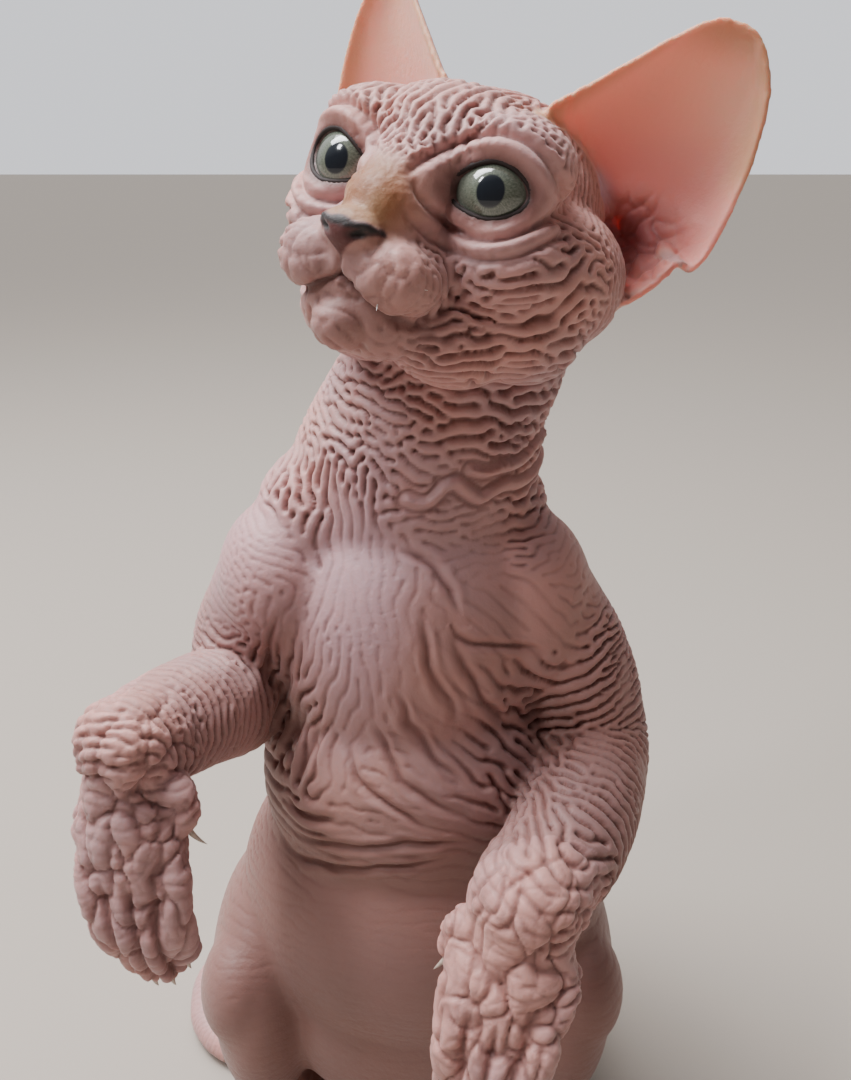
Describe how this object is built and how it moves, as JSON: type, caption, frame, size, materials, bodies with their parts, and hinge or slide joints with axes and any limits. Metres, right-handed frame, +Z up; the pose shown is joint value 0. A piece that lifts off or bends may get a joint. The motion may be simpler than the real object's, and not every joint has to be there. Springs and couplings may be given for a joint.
{
  "type": "sphynx cat model",
  "caption": "Still, life-size model of a wrinkled hairless kitten sitting up on its haunches with its forepaws hanging, head turned and looking up.",
  "frame": {"origin": "on the floor, in the flat under the rump", "axes": "+Z up, from the floor to the ears; the chest faces -Y, and +X is to the cat's left"},
  "size_m": [0.1386, 0.1319, 0.2912],
  "materials": {
    "skin": "soft bare skin, matt with a faint sheen",
    "ear_skin": "thin translucent skin",
    "eye": "wet and glossy"
  },
  "bodies": {
    "root": {"belly": "skin", "chest": "skin", "ear_left": "ear_skin", "ear_right": "ear_skin", "eye_left": "eye", "eye_right": "eye", "foreleg_lower_left": "skin", "foreleg_lower_right": "skin", "foreleg_upper_left": "skin", "foreleg_upper_right": "skin", "forepaw_left": "skin", "forepaw_right": "skin", "head": "skin", "hind_foot_left": "skin", "hind_foot_right": "skin", "hind_leg_lower_left": "skin", "hind_leg_lower_right": "skin", "neck": "skin", "rump": "skin", "tail_base": "skin", "tail_middle": "skin", "tail_tip": "skin", "thigh_left": "skin", "thigh_right": "skin"}
  },
  "joints": []
}
